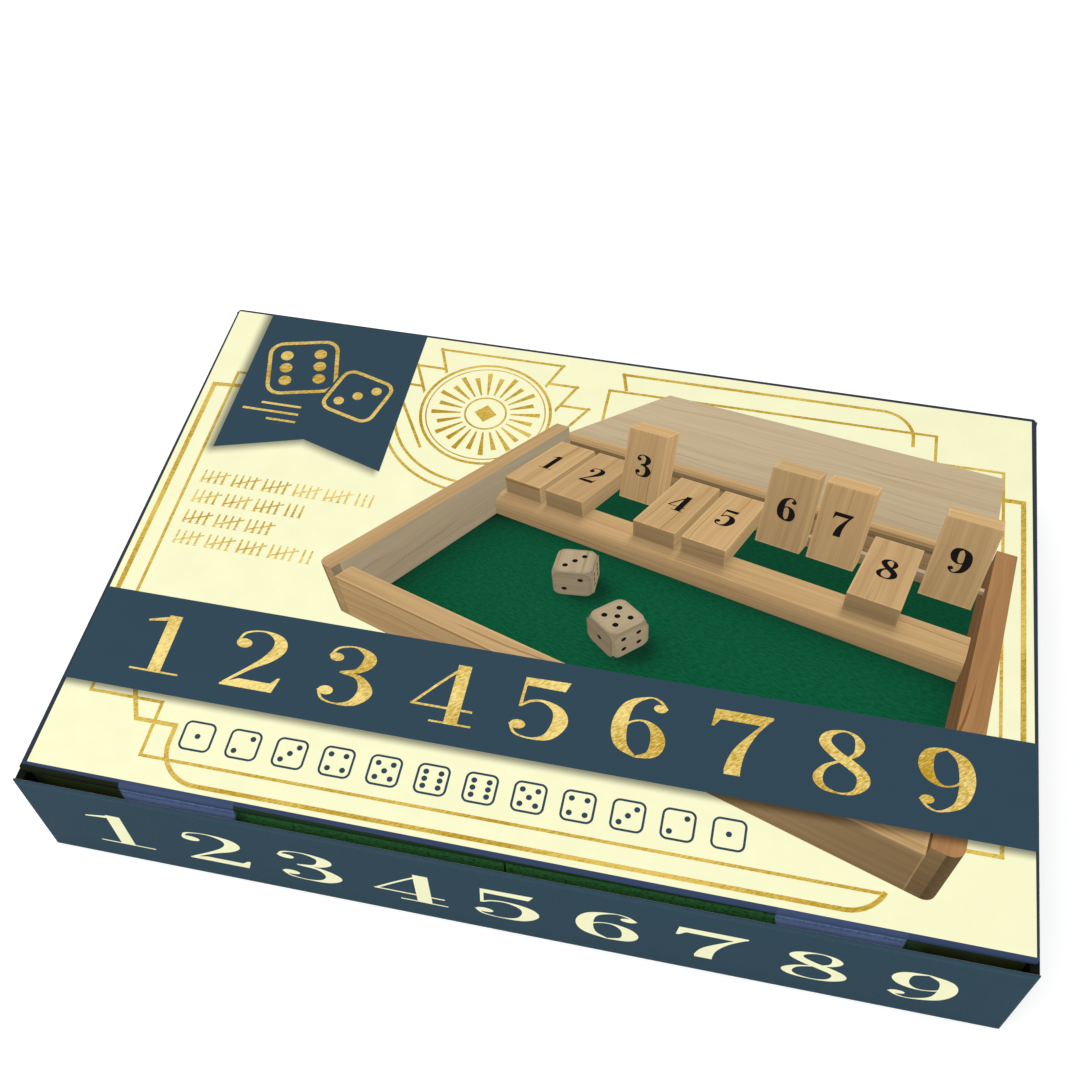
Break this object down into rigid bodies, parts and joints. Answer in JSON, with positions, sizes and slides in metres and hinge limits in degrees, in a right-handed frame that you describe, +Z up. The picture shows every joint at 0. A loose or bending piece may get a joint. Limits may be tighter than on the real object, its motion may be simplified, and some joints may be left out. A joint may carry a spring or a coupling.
{
  "type": "shut the box game",
  "caption": "Wooden flip-tile dice game with a hinged lid and a felt tray, shut inside its hinged-lid printed card carton with tuck-in lock tabs.",
  "frame": {"origin": "middle of the carton's underside", "axes": "+X to the right, -Y towards the front wall, +Z up through the lid"},
  "size_m": [0.3, 0.2036, 0.046],
  "materials": {
    "printed_board": "satin slate-blue print",
    "inner_board": "matt dark green board",
    "lid_board": "satin cream print with navy edges",
    "tab_board": "matt navy board",
    "pale_wood": "plain pale softwood",
    "warm_wood": "lightly waxed warm wood",
    "tile_wood": "lightly waxed warm wood",
    "dice_wood": "plain turned wood, dark pips",
    "felt": "green felt",
    "steel": "drawn steel wire"
  },
  "bodies": {
    "carton_tray": {"carton_base": "printed_board", "carton_front_wall": "printed_board", "carton_back_wall": "printed_board", "carton_left_wall": "printed_board", "carton_right_wall": "printed_board", "front_flap_left": "inner_board", "front_flap_right": "inner_board", "back_flap_left": "inner_board", "back_flap_right": "inner_board", "box_base": "pale_wood", "box_felt": "felt", "box_left_side": "warm_wood", "box_right_side": "warm_wood", "box_front_wall": "warm_wood", "box_back_wall": "warm_wood", "tile_ledge": "warm_wood", "lid_pin_left": "steel", "lid_pin_right": "steel", "tile_rod": "steel"},
    "carton_lid": {"carton_lid": "lid_board"},
    "lock_tab_left": {"lock_tab_left": "tab_board"},
    "lock_tab_right": {"lock_tab_right": "tab_board"},
    "box_lid": {"box_lid": "pale_wood"},
    "tile_1": {"tile_1": "tile_wood"},
    "tile_2": {"tile_2": "tile_wood"},
    "tile_3": {"tile_3": "tile_wood"},
    "tile_4": {"tile_4": "tile_wood"},
    "tile_5": {"tile_5": "tile_wood"},
    "tile_6": {"tile_6": "tile_wood"},
    "tile_7": {"tile_7": "tile_wood"},
    "tile_8": {"tile_8": "tile_wood"},
    "tile_9": {"tile_9": "tile_wood"},
    "die_1": {"die_1": "dice_wood"},
    "die_2": {"die_2": "dice_wood"}
  },
  "joints": [
    {"name": "carton_lid_crease", "type": "hinge", "parent": "carton_tray", "child": "carton_lid", "pos_m": [0, 0.10115, 0.0454], "axis": [-1, 0, 0], "range_deg": [0, 180]},
    {"name": "lock_tab_left_crease", "type": "hinge", "parent": "carton_lid", "child": "lock_tab_left", "pos_m": [-0.0995, -0.09715, 0.0433], "axis": [-1, 0, 0], "range_deg": [0, 45]},
    {"name": "lock_tab_right_crease", "type": "hinge", "parent": "carton_lid", "child": "lock_tab_right", "pos_m": [0.0962, -0.09715, 0.0433], "axis": [-1, 0, 0], "range_deg": [0, 45]},
    {"name": "box_lid_hinge", "type": "hinge", "parent": "carton_tray", "child": "box_lid", "pos_m": [0, 0.08855, 0.0387], "axis": [-1, 0, 0], "range_deg": [0, 110]},
    {"name": "tile_1_hinge", "type": "hinge", "parent": "carton_tray", "child": "tile_1", "pos_m": [-0.12, 0.07002, 0.02573], "axis": [-1, 0, 0], "range_deg": [0, 110]},
    {"name": "tile_2_hinge", "type": "hinge", "parent": "carton_tray", "child": "tile_2", "pos_m": [-0.09, 0.07002, 0.02573], "axis": [-1, 0, 0], "range_deg": [0, 110]},
    {"name": "tile_3_hinge", "type": "hinge", "parent": "carton_tray", "child": "tile_3", "pos_m": [-0.06, 0.07002, 0.02573], "axis": [-1, 0, 0], "range_deg": [0, 110]},
    {"name": "tile_4_hinge", "type": "hinge", "parent": "carton_tray", "child": "tile_4", "pos_m": [-0.03, 0.07002, 0.02573], "axis": [-1, 0, 0], "range_deg": [0, 110]},
    {"name": "tile_5_hinge", "type": "hinge", "parent": "carton_tray", "child": "tile_5", "pos_m": [0, 0.07002, 0.02573], "axis": [-1, 0, 0], "range_deg": [0, 110]},
    {"name": "tile_6_hinge", "type": "hinge", "parent": "carton_tray", "child": "tile_6", "pos_m": [0.03, 0.07002, 0.02573], "axis": [-1, 0, 0], "range_deg": [0, 110]},
    {"name": "tile_7_hinge", "type": "hinge", "parent": "carton_tray", "child": "tile_7", "pos_m": [0.06, 0.07002, 0.02573], "axis": [-1, 0, 0], "range_deg": [0, 110]},
    {"name": "tile_8_hinge", "type": "hinge", "parent": "carton_tray", "child": "tile_8", "pos_m": [0.09, 0.07002, 0.02573], "axis": [-1, 0, 0], "range_deg": [0, 110]},
    {"name": "tile_9_hinge", "type": "hinge", "parent": "carton_tray", "child": "tile_9", "pos_m": [0.12, 0.07002, 0.02573], "axis": [-1, 0, 0], "range_deg": [0, 110]},
    {"name": "die_1_slide", "type": "slide", "parent": "carton_tray", "child": "die_1", "axis": [1, 0, 0], "range_m": [-0.063, 0.187]},
    {"name": "die_2_slide", "type": "slide", "parent": "carton_tray", "child": "die_2", "axis": [1, 0, 0], "range_m": [-0.098, 0.15]}
  ],
  "couplings": [
    {"joint": "lock_tab_left_crease", "follows": "carton_lid_crease", "ratio": 0.25},
    {"joint": "lock_tab_right_crease", "follows": "carton_lid_crease", "ratio": 0.25},
    {"joint": "box_lid_hinge", "follows": "carton_lid_crease", "ratio": 0.61111},
    {"joint": "tile_1_hinge", "follows": "carton_lid_crease", "ratio": 0.61111},
    {"joint": "tile_2_hinge", "follows": "carton_lid_crease", "ratio": 0.61111},
    {"joint": "tile_3_hinge", "follows": "carton_lid_crease", "ratio": 0.61111},
    {"joint": "tile_4_hinge", "follows": "carton_lid_crease", "ratio": 0.61111},
    {"joint": "tile_5_hinge", "follows": "carton_lid_crease", "ratio": 0.61111},
    {"joint": "tile_6_hinge", "follows": "carton_lid_crease", "ratio": 0.61111},
    {"joint": "tile_7_hinge", "follows": "carton_lid_crease", "ratio": 0.61111},
    {"joint": "tile_8_hinge", "follows": "carton_lid_crease", "ratio": 0.61111},
    {"joint": "tile_9_hinge", "follows": "carton_lid_crease", "ratio": 0.61111}
  ]
}
